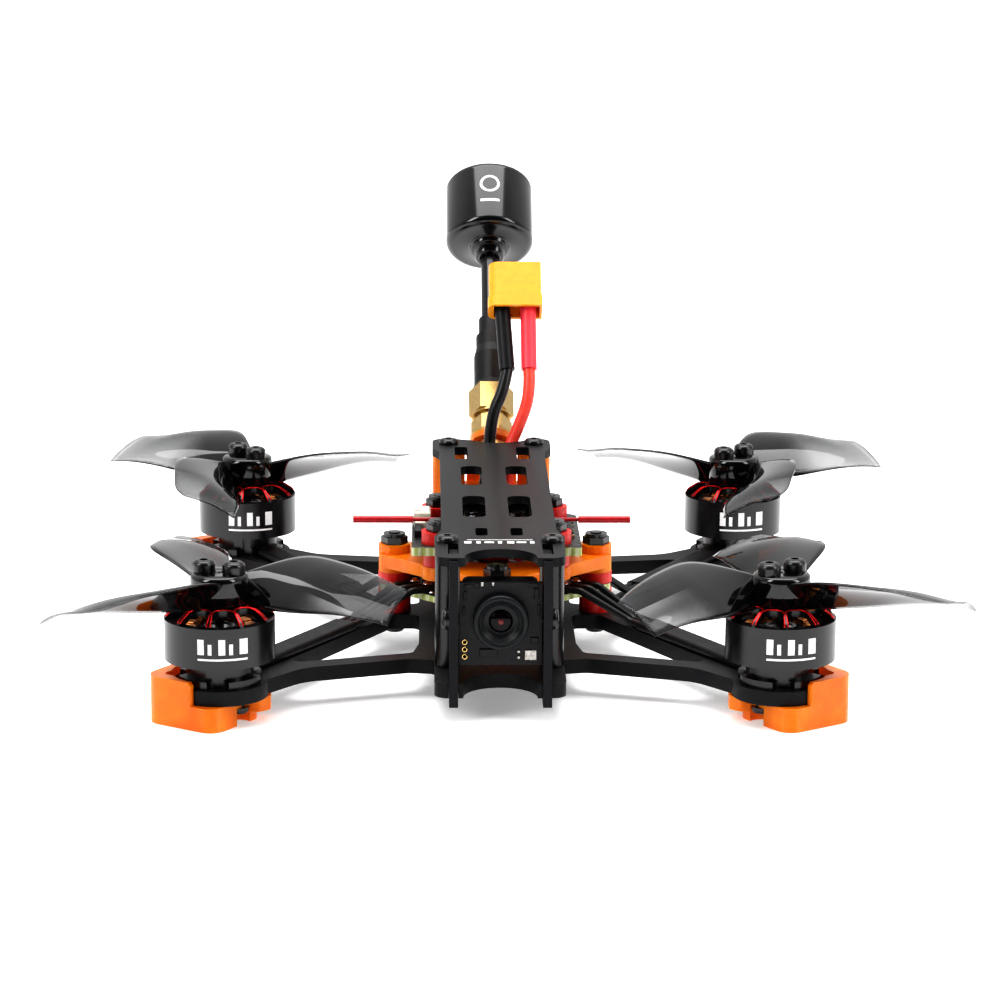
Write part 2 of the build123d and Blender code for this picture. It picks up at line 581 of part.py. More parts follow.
def battery_lead():
    black = wire_tube(LEAD_BLACK, arc_radii(LEAD_BLACK), LEAD_D / 2)
    red = wire_tube(LEAD_RED, arc_radii(LEAD_RED), LEAD_D / 2)
    frame = Pos(*XT_BASE) * Rot(-XT_LEAN, 0, 0)
    shrinks = []
    for pts, x in ((LEAD_BLACK, -XT_PITCH / 2), (LEAD_RED, XT_PITCH / 2)):
        start = Vector(*pts[-1])
        d = Vector(*(frame * Pos(x, 0, 1.4)).position) - start
        tube = Cylinder(SHRINK_D / 2, d.length, align=(Align.CENTER, Align.CENTER, Align.MIN))
        shrinks.append(Plane(origin=start, z_dir=d).location * tube)
    body = Pos(0, 0, XT_L / 2 + 1.2) * Box(10.0, 5.2, XT_L - 2.4)
    body = fillet(body.edges().filter_by(Axis.Z).sort_by(Axis.X)[:2], 1.8)
    skirt = Pos(0, 0, 1.2) * Box(10.4, 5.6, 2.4)
    skirt = fillet(skirt.edges().filter_by(Axis.Z).sort_by(Axis.X)[:2], 1.8)
    body += skirt
    body -= Pos(0.3, 0, 1.0) * Box(8.8, 4.2, 2.1)
    for x in (-XT_PITCH / 2, XT_PITCH / 2):
        body -= Pos(x, 0, 6.0) * Cylinder(1.25, 10.0)
    pins = [frame * Pos(x, 0, 5.8) * Cylinder(1.0, 6.0) for x in (-XT_PITCH / 2, XT_PITCH / 2)]
    return black, red, shrinks, frame * body, pins


def main():
    put(bottom_plate(), "bottom_plate")
    put(top_plate(), "top_plate")
    put([camera_plate(1), camera_plate(-1)], "camera_plates")
    posts = [(sx * x, y) for x, y in (FRONT_SCREW, REAR_SCREW) for sx in (1, -1)]
    put([standoff(x, y) for x, y in posts], "standoffs")
    put(plate_screws(), "plate_screws")
    put([foot(sx, sy) for sx, sy in MOTORS.values()], "feet")

    centres = {k: (sx * MOTOR_X, sy * MOTOR_Y) for k, (sx, sy) in MOTORS.items()}
    put([motor_base(*c) for c in centres.values()], "motor_bases")
    put([b for c in centres.values() for b in bearings(*c)], "motor_bearings")
    put([stator(*c) for c in centres.values()], "motor_stators")
    put([w for c in centres.values() for w in windings(*c)], "motor_windings")
    put(motor_screws(), "motor_screws")
    put(motor_wires(), "motor_wires")
    put(wire_sleeves(), "wire_sleeves")
    for k, (x, y) in centres.items():
        put(bell(x, y, PROP_TURN[k] - 7 * PROP_DIR[k]), f"bell_{k}")
        put(magnets(x, y), f"magnets_{k}")
        put(propeller(x, y, PROP_TURN[k], PROP_DIR[k]), f"propeller_{k}")
        put(prop_screws(x, y, PROP_TURN[k], PROP_DIR[k]), f"prop_screws_{k}")

    screws = [button_screw(x, y, PLATE_Z, -1, 16.9 if y == 0 else 15.3, 1.8, 1.4)
              for x, y in stack_spots()]
    screws += [button_screw(x, y, ADAPT_Z + 0.7, -1, 9.8, 1.75, 1.2) for x, y in four(VTX, VTX)]
    put(screws, "stack_screws")
    put([spool(x, y, DECK_Z, AIO_Z, AIO_Z + AIO_T, 3.3) for x, y in stack_spots()], "stack_grommets")
    put(aio_board(), "aio_board")
    put(aio_components(), "aio_components")
    put(usb_port(), "usb_port")
    put(tpu_adapter(), "tpu_adapter")
    nuts = [lock_nut(x, y, 8.3 if y == 0 else ADAPT_TOP) for x, y in stack_spots()]
    nuts += [lock_nut(x, y, 12.9) for x, y in four(VTX, VTX)]
    put(nuts, "lock_nuts")
    put([spool(x, y, ADAPT_TOP, VTX_Z, VTX_Z + VTX_T, 12.9, 2.9, 3.2)
         for x, y in four(VTX, VTX)], "vtx_grommets")
    put(vtx_board(), "vtx_board")
    put(vtx_components(), "vtx_components")
    board, aerial = receiver()
    put(board, "receiver_board")
    put(aerial, "receiver_antenna")

    board, house, barrel, glass, screws = camera()
    put(board, "camera_board")
    put(house, "camera_housing")
    put(barrel, "lens_barrel")
    put(glass, "lens_glass")
    put(screws, "camera_screws")

    put(antenna_mount(), "antenna_mount")
    jack, coupling, sleeve, stem, cap = antenna()
    put(jack, "sma_jack")
    put(coupling, "coupling_nut")
    put(sleeve, "antenna_sleeve")
    put(stem, "antenna_stem")
    put(cap, "antenna_cap")
    put(coax_pigtail(), "coax_pigtail")

    black, red, shrinks, body, pins = battery_lead()
    put(black, "lead_black")
    put(red, "lead_red")
    put(shrinks[0], "shrink_black")
    put(shrinks[1], "shrink_red")
    put(body, "xt30_body")
    put(pins, "xt30_contacts")
    for name, pts, tube in (("black", LEAD_BLACK, black), ("red", LEAD_RED, red)):
        radii = arc_radii(pts)
        path = FilletPolyline(*pts, radius=radii)
        want = math.pi * (LEAD_D / 2) ** 2 * path.length
        print(f"lead {name}: length {path.length:.1f} mm, radii {[round(r, 1) for r in radii]},"
              f" tube volume {tube.volume:.1f} of {want:.1f} mm3")


main()
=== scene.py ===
import json
import math
import random

import bmesh
import bpy
from mathutils import Matrix, Vector


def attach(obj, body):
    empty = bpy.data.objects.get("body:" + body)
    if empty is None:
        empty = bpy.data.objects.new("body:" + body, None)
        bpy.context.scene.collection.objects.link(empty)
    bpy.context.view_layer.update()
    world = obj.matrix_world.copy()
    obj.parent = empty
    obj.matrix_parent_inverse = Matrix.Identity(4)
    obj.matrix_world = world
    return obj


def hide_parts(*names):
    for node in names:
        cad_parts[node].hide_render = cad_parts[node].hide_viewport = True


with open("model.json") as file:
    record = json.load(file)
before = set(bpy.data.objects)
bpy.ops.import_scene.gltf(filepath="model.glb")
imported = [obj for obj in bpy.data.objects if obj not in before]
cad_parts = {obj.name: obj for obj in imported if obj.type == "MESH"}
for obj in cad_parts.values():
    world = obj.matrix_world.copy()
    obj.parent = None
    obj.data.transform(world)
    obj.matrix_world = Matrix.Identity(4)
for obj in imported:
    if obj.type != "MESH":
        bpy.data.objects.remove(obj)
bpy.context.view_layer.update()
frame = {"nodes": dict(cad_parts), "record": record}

NODES = frame["nodes"]
SHIFT = Vector((-1.62, -14.42, 10.6))   # from the modelling frame, in mm, to the part's frame
MM = 0.001
MOTORS = {"fl": (-46.6, -46.6), "fr": (46.6, -46.6), "rl": (-46.6, 46.6), "rr": (46.6, 46.6)}
TURN = {"fl": 352.3, "fr": 203.2, "rl": 125.8, "rr": 44.8}   # each propeller's angle at rest
HAND = {"fl": 1, "fr": -1, "rl": -1, "rr": 1}                # which way each propeller is handed
BOARD_FACE = -47.6              # y of the camera board's front face
AIO_TOP = 1.3                   # upper faces of the boards and of what stands on them
VTX_TOP = 10.8
SHIELD_TOP = 12.4
RECEIVER_TOP = 13.3
DECK_TOP = 17.51                # just above the top deck, for its print
ANT_BASE = Vector((0.25, 53.5, 18.9))
ANT_AXIS = Vector((0, math.sin(math.radians(44)), math.cos(math.radians(44))))
CAP_R = 8.7
random.seed(7)


def at(x, y, z):
    return (Vector((x, y, z)) + SHIFT) * MM


# ------------------------------------------------------------------ materials
class Nodes:
    """Short calls for building one procedural material."""

    def __init__(self, name):
        self.mat = bpy.data.materials.new(name)
        self.mat.use_nodes = True
        self.tree = self.mat.node_tree
        self.bsdf = self.tree.nodes["Principled BSDF"]
        self.coord = self.new("ShaderNodeTexCoord").outputs["Object"]

    def new(self, kind):
        return self.tree.nodes.new(kind)

    def put(self, node, key, value):
        if isinstance(value, bpy.types.NodeSocket):
            self.tree.links.new(value, node.inputs[key])
        else:
            node.inputs[key].default_value = value

    def set(self, **values):
        for key, value in values.items():
            self.put(self.bsdf, key.replace("_", " "), value)

    def mapped(self, scale):
        node = self.new("ShaderNodeMapping")
        self.put(node, "Vector", self.coord)
        self.put(node, "Scale", scale)
        return node.outputs["Vector"]

    def noise(self, scale, detail=4.0, stretch=(1, 1, 1)):
        node = self.new("ShaderNodeTexNoise")
        self.put(node, "Vector", self.mapped(stretch))
        self.put(node, "Scale", scale)
        self.put(node, "Detail", detail)
        return node.outputs["Fac"]

    def wave(self, scale, axis="Z", distort=0.0):
        node = self.new("ShaderNodeTexWave")
        node.bands_direction = axis
        self.put(node, "Vector", self.coord)
        self.put(node, "Scale", scale)
        self.put(node, "Distortion", distort)
        return node.outputs["Fac"]

    def ramp(self, fac, *stops):
        node = self.new("ShaderNodeValToRGB")
        self.tree.links.new(fac, node.inputs["Fac"])
        elements = node.color_ramp.elements
        while len(elements) < len(stops):
            elements.new(0.5)
        for element, (place, colour) in zip(elements, stops):
            element.position = place
            element.color = (*colour, 1) if len(colour) == 3 else colour
        return node.outputs["Color"]

    def span(self, fac, low, high):
        node = self.new("ShaderNodeMapRange")
        self.tree.links.new(fac, node.inputs["Value"])
        node.inputs["To Min"].default_value = low
        node.inputs["To Max"].default_value = high
        return node.outputs["Result"]

    def math(self, kind, a, b):
        node = self.new("ShaderNodeMath")
        node.operation = kind
        for key, value in ((0, a), (1, b)):
            self.put(node, key, value)
        return node.outputs["Value"]

    def bump(self, height, strength, distance):
        node = self.new("ShaderNodeBump")
        self.tree.links.new(height, node.inputs["Height"])
        node.inputs["Strength"].default_value = strength
        node.inputs["Distance"].default_value = distance
        self.tree.links.new(node.outputs["Normal"], self.bsdf.inputs["Normal"])


def plain(name, colour, rough, metal=0.0, grain=900.0, vary=0.25, bump=0.00002, **more):
    """A finish with fine mottling in its colour and roughness, and a light surface grain."""
    m = Nodes(name)
    fac = m.noise(grain, 5.0)
    dark = [c * (1 - vary) for c in colour]
    light = [min(1.0, c * (1 + vary)) for c in colour]
    m.set(Base_Color=m.ramp(fac, (0.3, dark), (0.7, light)), Metallic=metal,
          Roughness=m.span(m.noise(grain * 0.3), rough * 0.8, min(1, rough * 1.25)))
    m.bump(m.noise(grain * 2.0), 0.35, bump)
    m.set(**more)
    return m.mat


def carbon():
    """Laminate: faint weave and streaks on the faces, plies along the cut edges."""
    m = Nodes("carbon_laminate")
    a = m.wave(330.0, "DIAGONAL", 1.2)
    b = m.wave(520.0, "X", 2.0)
    streak = m.noise(420.0, 6.0, (1.0, 0.07, 1.0))
    mix = m.math("ADD", m.math("MULTIPLY", a, 0.25), m.math("MULTIPLY", b, 0.15))
    mix = m.math("ADD", mix, m.math("MULTIPLY", streak, 0.6))
    ply = m.wave(1250.0, "Z", 1.5)
    geo = m.new("ShaderNodeNewGeometry")
    split = m.new("ShaderNodeSeparateXYZ")
    m.tree.links.new(geo.outputs["Normal"], split.inputs["Vector"])
    up = m.math("ABSOLUTE", split.outputs["Z"], 0.0)
    face = m.ramp(mix, (0.25, (0.008, 0.008, 0.009)), (0.75, (0.034, 0.035, 0.037)))
    edge = m.ramp(ply, (0.3, (0.004, 0.004, 0.005)), (0.8, (0.014, 0.015, 0.017)))
    pick = m.new("ShaderNodeMix")
    pick.data_type = "RGBA"
    m.tree.links.new(m.math("GREATER_THAN", up, 0.5), pick.inputs["Factor"])
    m.tree.links.new(edge, pick.inputs[6])
    m.tree.links.new(face, pick.inputs[7])
    m.set(Base_Color=pick.outputs[2], Roughness=m.span(mix, 0.38, 0.55), Specular_IOR_Level=0.22)
    m.bump(mix, 0.3, 0.00003)
    return m.mat


def tpu():
    """Printed flexible filament: layer lines, light bleeding through, and a faint painted glow."""
    m = Nodes("orange_filament")
    lines = m.wave(1550.0, "Z", 0.3)
    cloud = m.noise(160.0, 3.0)
    m.set(Base_Color=m.ramp(cloud, (0.3, (0.8, 0.17, 0.002)), (0.75, (0.95, 0.29, 0.008))),
          Roughness=m.span(lines, 0.22, 0.36))
    # The weak orange emission is painted glow: the filament gives off a little light of its own, as a
    # lamp would.
    m.set(Subsurface_Weight=0.45, Subsurface_Radius=(0.005, 0.0014, 0.0002), Subsurface_Scale=0.8,
          Transmission_Weight=0.15, IOR=1.46, Emission_Color=(1.0, 0.22, 0.004, 1),
          Emission_Strength=0.05)
    m.bump(lines, 0.6, 0.00005)
    return m.mat


def board():
    """Black solder mask with faint traces, pads and pale glass-fibre edges."""
    m = Nodes("circuit_board")
    cell = m.new("ShaderNodeTexVoronoi")
    m.tree.links.new(m.coord, cell.inputs["Vector"])
    cell.inputs["Scale"].default_value = 520.0
    trace = m.wave(260.0, "DIAGONAL", 6.0)
    mask = m.ramp(m.math("MULTIPLY", cell.outputs["Distance"], trace),
                  (0.1, (0.012, 0.016, 0.014)), (0.45, (0.035, 0.042, 0.038)))
    geo = m.new("ShaderNodeNewGeometry")
    split = m.new("ShaderNodeSeparateXYZ")
    m.tree.links.new(geo.outputs["Normal"], split.inputs["Vector"])
    side = m.math("LESS_THAN", m.math("ABSOLUTE", split.outputs["Z"], 0.0), 0.5)
    rim = m.ramp(m.wave(240.0, "X", 1.0), (0.35, (0.42, 0.47, 0.16)), (0.65, (0.62, 0.65, 0.4)))
    pick = m.new("ShaderNodeMix")
    pick.data_type = "RGBA"
    m.tree.links.new(side, pick.inputs["Factor"])
    m.tree.links.new(mask, pick.inputs[6])
    m.tree.links.new(rim, pick.inputs[7])
    m.set(Base_Color=pick.outputs[2], Roughness=m.span(trace, 0.3, 0.5))
    m.bump(trace, 0.25, 0.00003)
    return m.mat


def winding():
    """Enamelled copper wire, wound side by side, with painted shade that darkens the grooves between
    turns.
    """
    m = Nodes("copper_wire")
    turns = m.wave(900.0, "Z", 0.8)
    # The colour runs dark to bright with the same wave as the bump: painted shade in the grooves between
    # turns.
    m.set(Base_Color=m.ramp(turns, (0.2, (0.22, 0.06, 0.015)), (0.8, (0.85, 0.36, 0.12))),
          Metallic=0.9, Roughness=m.span(turns, 0.22, 0.4))
    m.bump(turns, 0.8, 0.00012)
    return m.mat


def smoke():
    """Tinted polycarbonate: dark and dense at the root, clear towards the tips."""
    m = Nodes("smoke_polycarbonate")
    paint = m.new("ShaderNodeAttribute")
    paint.attribute_name = "reach"
    fac = paint.outputs["Fac"]
    haze = m.math("MULTIPLY", m.noise(90.0, 3.0, (1, 1, 0.3)), 0.12)
    rim = m.new("ShaderNodeLayerWeight")
    rim.inputs["Blend"].default_value = 0.42
    clear = m.ramp(fac, (0.2, (1, 1, 1)), (0.34, (0.8, 0.8, 0.8)), (0.55, (0.4, 0.4, 0.4)),
                   (0.85, (0.24, 0.24, 0.24)), (1.0, (0.2, 0.2, 0.2)))
    alpha = m.math("ADD", clear, m.math("MULTIPLY", rim.outputs["Facing"], 0.8))
    m.set(Base_Color=m.ramp(fac, (0.2, (0.004, 0.004, 0.005)), (0.5, (0.006, 0.006, 0.007)),
                            (1.0, (0.02, 0.021, 0.023))),
          Alpha=m.math("MINIMUM", m.math("SUBTRACT", alpha, haze), 1.0),
          Roughness=m.span(haze, 0.03, 0.07))
    m.set(IOR=1.59, Specular_IOR_Level=0.4, Coat_Weight=0.2, Coat_Roughness=0.02)
    return m.mat


MATS = {
    "carbon": carbon(),
    "black_anodised": plain("black_anodised", (0.006, 0.006, 0.007), 0.24, 0.0, 1400, 0.2,
                            Specular_IOR_Level=0.6),
    "black_steel": plain("black_oxide_steel", (0.006, 0.006, 0.007), 0.28, 0.0, 2200, 0.3,
                         Specular_IOR_Level=0.7),
    "orange_tpu": tpu(),
    "bright_steel": plain("bright_steel", (0.62, 0.62, 0.63), 0.24, 1.0, 1800, 0.1),
    "stator_steel": plain("stator_lacquer", (0.03, 0.03, 0.034), 0.45, 0.3, 2500, 0.3),
    "copper": winding(),
    "black_silicone": plain("black_silicone", (0.006, 0.006, 0.007), 0.36, 0.0, 700, 0.2),
    "black_sleeve": plain("black_shrink", (0.008, 0.008, 0.009), 0.42, 0.0, 900, 0.25,
                          Specular_IOR_Level=0.3),
    "red_silicone": plain("red_silicone", (0.62, 0.018, 0.012), 0.38, 0.0, 800, 0.15,
                          Subsurface_Weight=0.2, Subsurface_Radius=(0.002, 0.0004, 0.0003)),
    "circuit_board": board(),
    "chip_black": plain("moulded_chip", (0.008, 0.008, 0.01), 0.4, 0.0, 3000, 0.3,
                        Specular_IOR_Level=0.3),
    "red_tube": plain("red_tube", (0.42, 0.008, 0.014), 0.3, 0.0, 900, 0.15),
    "camera_plastic": plain("camera_plastic", (0.008, 0.009, 0.01), 0.38, 0.0, 2600, 0.25,
                            Specular_IOR_Level=0.3),
    "lens_glass": plain("lens_coating", (0.004, 0.002, 0.004), 0.12, 0.0, 300, 0.3, 0.000002,
                        Specular_IOR_Level=0.2),
    "brass": plain("plated_brass", (0.5, 0.35, 0.15), 0.3, 1.0, 1500, 0.12),
    "gloss_black": plain("gloss_black", (0.003, 0.003, 0.004), 0.16, 0.0, 500, 0.2, 0.000002,
                         Coat_Weight=0.3, Coat_Roughness=0.08),
    "red_wire": plain("red_wire_silicone", (0.97, 0.09, 0.06), 0.36, 0.0, 700, 0.1,
                      Subsurface_Weight=0.15, Subsurface_Radius=(0.002, 0.0005, 0.0004)),
    "red_sleeve": plain("red_shrink", (0.9, 0.06, 0.085), 0.42, 0.0, 900, 0.1),
    "yellow_nylon": plain("yellow_nylon", (0.92, 0.38, 0.018), 0.36, 0.0, 900, 0.06,
                          Subsurface_Weight=0.3, Subsurface_Radius=(0.003, 0.0014, 0.0003)),
    "magnet": plain("nickel_magnet", (0.5, 0.5, 0.52), 0.2, 1.0, 900, 0.1),
    "smoke_polycarbonate": smoke(),
}
RED_EDGE = plain("red_anodised", (0.6, 0.01, 0.012), 0.25, 0.7, 1500, 0.15)
PRINT = plain("white_print", (0.86, 0.86, 0.86), 0.5, 0.0, 1800, 0.06)
SOLDER = plain("solder", (0.7, 0.7, 0.72), 0.22, 1.0, 1200, 0.12)
GOLD = plain("gold_pad", (0.85, 0.6, 0.24), 0.25, 1.0, 1200, 0.1)
CONNECTOR = plain("natural_nylon", (0.72, 0.68, 0.58), 0.45, 0.0, 1500, 0.08)

SLOT_OF = {s["node"]: s["material_slot"] for s in frame["record"]["subparts"]}
for name, node in NODES.items():
    node.data.materials.clear()
    node.data.materials.append(MATS[SLOT_OF[name]])
    for face in node.data.polygons:
        face.use_smooth = True
    edge = node.modifiers.new("soft_edges", "BEVEL")
    edge.width = {"feet": 0.0007, "xt30_body": 0.0007, "tpu_adapter": 0.0004}.get(name, 0.00012)
    edge.segments = 2
    edge.limit_method = "ANGLE"
    edge.angle_limit = math.radians(40)
    edge.harden_normals = True
    edge.use_clamp_overlap = True


# ------------------------------------------------------------------ mesh helpers
def piece(name, verts, faces, slot, body, mat=None, smooth=True):
    """One visible mesh from points in mm, in a slot and riding a body."""
    mesh = bpy.data.meshes.new(name)
    mesh.from_pydata([tuple(at(*v)) for v in verts], [], faces)
    mesh.validate()
    obj = bpy.data.objects.new(name, mesh)
    bpy.context.scene.collection.objects.link(obj)
    bm = bmesh.new()
    bm.from_mesh(mesh)
    bmesh.ops.recalc_face_normals(bm, faces=bm.faces)
    bm.to_mesh(mesh)
    bm.free()
    mesh.materials.append(mat or MATS[slot])
    for face in mesh.polygons:
        face.use_smooth = smooth
    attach(obj, body)
    return obj


def spline(knots, values, x):
    """Natural cubic spline through the knots, straight beyond both ends."""
    n = len(knots)
    h = [knots[i + 1] - knots[i] for i in range(n - 1)]
    m = [0.0] * n
    diag, rhs = [1.0] * n, [0.0] * n
    for i in range(1, n - 1):
        w = h[i - 1] / diag[i - 1] if i > 1 else 0.0
        diag[i] = 2 * (h[i - 1] + h[i]) - w * (h[i - 1] if i > 1 else 0)
        rhs[i] = 6 * ((values[i + 1] - values[i]) / h[i] - (values[i] - values[i - 1]) / h[i - 1])
        rhs[i] -= w * rhs[i - 1] if i > 1 else 0.0
    for i in range(n - 2, 0, -1):
        m[i] = (rhs[i] - h[i] * m[i + 1]) / diag[i]
    i = max(0, min(n - 2, sum(1 for k in knots[1:-1] if x > k)))
    x = max(knots[0] - 2, min(knots[-1], x))
    a, b = knots[i + 1] - x, x - knots[i]
    return ((m[i] * a ** 3 + m[i + 1] * b ** 3) / (6 * h[i]) + (values[i] / h[i] - m[i] * h[i] / 6) * a
            + (values[i + 1] / h[i] - m[i + 1] * h[i] / 6) * b)


# ------------------------------------------------------------------ propellers
KNOTS = [5, 9, 14, 19, 24, 29, 33]
LEAD_Y = [4.28, 5.91, 7.09, 5.47, 2.79, -0.27, -4.63]
LEAD_Z = [13.97, 15.07, 15.86, 15.55, 14.81, 13.59, 13.19]
TRAIL_Y = [-0.28, -3.01, -5.75, -8.21, -10.53, -12.22, -13.74]
TRAIL_Z = [8.6, 8.95, 9.4, 10.01, 10.22, 9.67, 8.9]
TIP_LEAD, TIP_TRAIL = 32.12, 29.96


def blade_grid(rows=30, cols=14):
    """Upper and lower points of one blade along +X, with how far out each one is."""
    top, low, reach = [], [], []
    for i in range(rows + 1):
        for j in range(cols + 1):
            c = j / cols
            tip = TIP_LEAD + (TIP_TRAIL - TIP_LEAD) * c
            r = 3.2 + (tip - 3.2) * i / rows
            a = Vector((r, spline(KNOTS, LEAD_Y, r), spline(KNOTS, LEAD_Z, r)))
            b = Vector((r, spline(KNOTS, TRAIL_Y, r), spline(KNOTS, TRAIL_Z, r)))
            chord = b - a
            normal = Vector((0, chord.z, -chord.y)).normalized()
            p = a + chord * c + normal * (0.07 * chord.length * 4 * c * (1 - c))
            thick = (0.95 - 0.6 * (r - 3.2) / 29) * (0.3 + 0.7 * (4 * c * (1 - c)) ** 0.5)
            top.append(p + normal * thick / 2)
            low.append(p - normal * thick / 2)
            reach.append(max(0.0, min(1.0, (r - 4.0) / 28.0 + 0.12 * (c - 0.5))))
    return top, low, reach, rows, cols


def propeller(key):
    """Three twisted blades and a hub, in place of the CAD propeller."""
    x, y = MOTORS[key]
    hand = HAND[key]
    verts, faces, reach = [], [], []
    top, low, far, rows, cols = blade_grid()
    w = cols + 1
    for k in range(3):
        turn = Matrix.Rotation(math.radians(TURN[key] + 120 * k * hand), 3, "Z")
        base = len(verts)
        for p in top + low:
            verts.append(turn @ Vector((p.x, p.y * hand, p.z)) + Vector((x, y, 0)))
        reach += far + far
        half = len(top)
        for i in range(rows):
            for j in range(cols):
                a = base + i * w + j
                faces.append((a, a + 1, a + w + 1, a + w))
                faces.append((a + half, a + half + w, a + half + w + 1, a + half + 1))
        rim = [i * w for i in range(rows + 1)] + [rows * w + j for j in range(1, w)]
        rim += [i * w + cols for i in range(rows - 1, -1, -1)] + list(range(cols - 1, 0, -1))
        for a, b in zip(rim, rim[1:] + rim[:1]):
            faces.append((base + a, base + b, base + b + half, base + a + half))
    hub = [(0.9, 9.15), (4.4, 9.15), (4.8, 9.4), (4.8, 13.6), (4.65, 14.1), (4.2, 14.4),
           (2.6, 14.4), (0.9, 14.4)]
    base = len(verts)
    steps = 48
    for r, z in hub:
        for i in range(steps):
            a = 2 * math.pi * i / steps
            verts.append(Vector((x + r * math.cos(a), y + r * math.sin(a), z)))
            reach.append(0.0)
    for i in range(len(hub)):
        for j in range(steps):
            n, k = (i + 1) % len(hub), (j + 1) % steps
            faces.append((base + i * steps + j, base + i * steps + k,
                          base + n * steps + k, base + n * steps + j))
    obj = piece(f"propeller_blades_{key}", verts, faces, "smoke_polycarbonate", f"rotor_{key}")
    paint = obj.data.attributes.new("reach", "FLOAT", "POINT")
    paint.data.foreach_set("value", reach)
    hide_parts(f"propeller_{key}")


for key in MOTORS:
    propeller(key)


# ------------------------------------------------------------------ motor trim
def tube_mesh(path, r, sides=6):
    """A thin round bead along a path, as points and faces in mm."""
    verts, faces = [], []
    n = len(path)
    for i, p in enumerate(path):
        a = path[max(i - 1, 0)]
        b = path[min(i + 1, n - 1)]
        d = (b - a).normalized()
        u = d.cross(Vector((0, 0, 1)))
        u = u.normalized() if u.length > 1e-6 else Vector((1, 0, 0))
        v = d.cross(u)
        for k in range(sides):
            t = 2 * math.pi * k / sides
            verts.append(p + u * r * math.cos(t) + v * r * math.sin(t))
    for i in range(n - 1):
        for k in range(sides):
            j = (k + 1) % sides
            faces.append((i * sides + k, i * sides + j, (i + 1) * sides + j, (i + 1) * sides + k))
    faces.append(tuple(range(sides)))
    faces.append(tuple((n - 1) * sides + k for k in range(sides)))
    return verts, faces


def join(parts):
    """Several meshes' points and faces as one."""
    verts, faces = [], []
    for v, f in parts:
        base = len(verts)
        verts += v
        faces += [tuple(i + base for i in face) for face in f]
    return verts, faces


def shoulder(r):
    """Height of the bell's upper surface at a radius."""
    profile = [(4.0, 9.1), (5.4, 9.1), (6.9, 8.8), (8.6, 7.7), (9.2, 6.9)]
    for (r0, z0), (r1, z1) in zip(profile, profile[1:]):
        if r <= r1:
            return z0 + (z1 - z0) * (r - r0) / (r1 - r0)
    return 6.9


def bell_trim(key):
    """Bright chamfer round each window of the bell."""
    x, y = MOTORS[key]
    turn = math.radians(TURN[key] - 7 * HAND[key] + 6)
    parts = []
    for k in range(10):
        local = [(8.55, -2.45), (8.1, -2.34), (7.4, -2.16), (6.6, -1.95)]
        local += [(6.6 - 1.95 * math.sin(a), -1.95 * math.cos(a)) for a in
                  [math.pi * i / 8 for i in range(1, 8)]]
        local += [(px, -py) for px, py in reversed(local[:4])]
        c, s = math.cos(turn + math.pi * k / 5), math.sin(turn + math.pi * k / 5)
        path = []
        for px, py in local:
            r = math.hypot(px, py)
            path.append(Vector((x + px * c - py * s, y + px * s + py * c, shoulder(min(r, 9.2)) - 0.05)))
        parts.append(tube_mesh(path, 0.15))
    piece(f"bell_chamfer_{key}", *join(parts), "black_anodised", f"rotor_{key}", RED_EDGE)


for key in MOTORS:
    bell_trim(key)


# ------------------------------------------------------------------ turned and boxed detail
def lathe(profile, place, axis, steps=40):
    """Points (radius, height) turned round an axis through place, in mm."""
    axis = Vector(axis).normalized()
    u = axis.orthogonal().normalized()
    v = axis.cross(u)
    verts, faces = [], []
    for r, h in profile:
        for i in range(steps):
            a = 2 * math.pi * i / steps
            verts.append(Vector(place) + axis * h + (u * math.cos(a) + v * math.sin(a)) * r)
    for i in range(len(profile) - 1):
        for j in range(steps):
            k = (j + 1) % steps
            faces.append((i * steps + j, i * steps + k, (i + 1) * steps + k, (i + 1) * steps + j))
    for row in (0, len(profile) - 1):
        if profile[row][0] > 0:
            faces.append(tuple(range(row * steps, (row + 1) * steps)))
    return verts, faces


def brick(place, size, chamfer=0.12, turn=0.0):
    """A small moulded block with chamfered upper edges, sitting on place."""
    x, y, z = place
    a, b, h = size[0] / 2, size[1] / 2, size[2]
    c = min(chamfer, a * 0.4, b * 0.4, h * 0.4)
    rot = Matrix.Rotation(turn, 3, "Z")
    verts = []
    for zz, k in ((0, 0), (h - c, 0), (h, c)):
        for px, py in ((-a + k, -b + k), (a - k, -b + k), (a - k, b - k), (-a + k, b - k)):
            verts.append(Vector((x, y, z)) + rot @ Vector((px, py, zz)))
    faces = [(0, 1, 2, 3), (8, 9, 10, 11)]
    for i in range(2):
        for j in range(4):
            k = (j + 1) % 4
            faces.append((i * 4 + j, i * 4 + k, i * 4 + 4 + k, i * 4 + 4 + j))
    return verts, faces


def lens():
    """Ringed lens front on the camera board, with a domed glass and a faint red disc of painted
    reflection at its centre.
    """
    centre, out = (0, BOARD_FACE, 6.4), (0, -1, 0)
    rings = [(4.3, 0.0), (4.6, 0.2), (4.6, 1.75), (4.4, 2.0), (3.9, 2.0), (3.75, 1.8), (3.5, 1.3),
             (3.2, 1.2), (3.05, 0.9), (2.5, 0.55), (2.0, 0.5)]
    obj = piece("lens_rings", *lathe(rings, centre, out), "camera_plastic", "camera")
    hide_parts("lens_barrel", "lens_glass")
    dome = [(2.0, 0.5)] + [(1.95 * math.cos(a) + 0.0001, 0.5 + 0.7 * math.sin(a)) for a in
                           [math.pi / 2 * i / 8 for i in range(9)]]
    piece("lens_dome", *lathe(dome, centre, out), "lens_glass", "camera")
    # A dim red disc inside the lens: painted reflection, not a lit part of the camera.
    reflex_disc = [(0.5, 1.18), (0.4, 1.22), (0.0001, 1.24)]
    piece("lens_painted_reflex", *lathe(reflex_disc, centre, out, 24), "lens_glass", "camera",
          plain("lens_reflex", (0.12, 0.006, 0.006), 0.3, 0.0, 900, 0.3, 0.0))


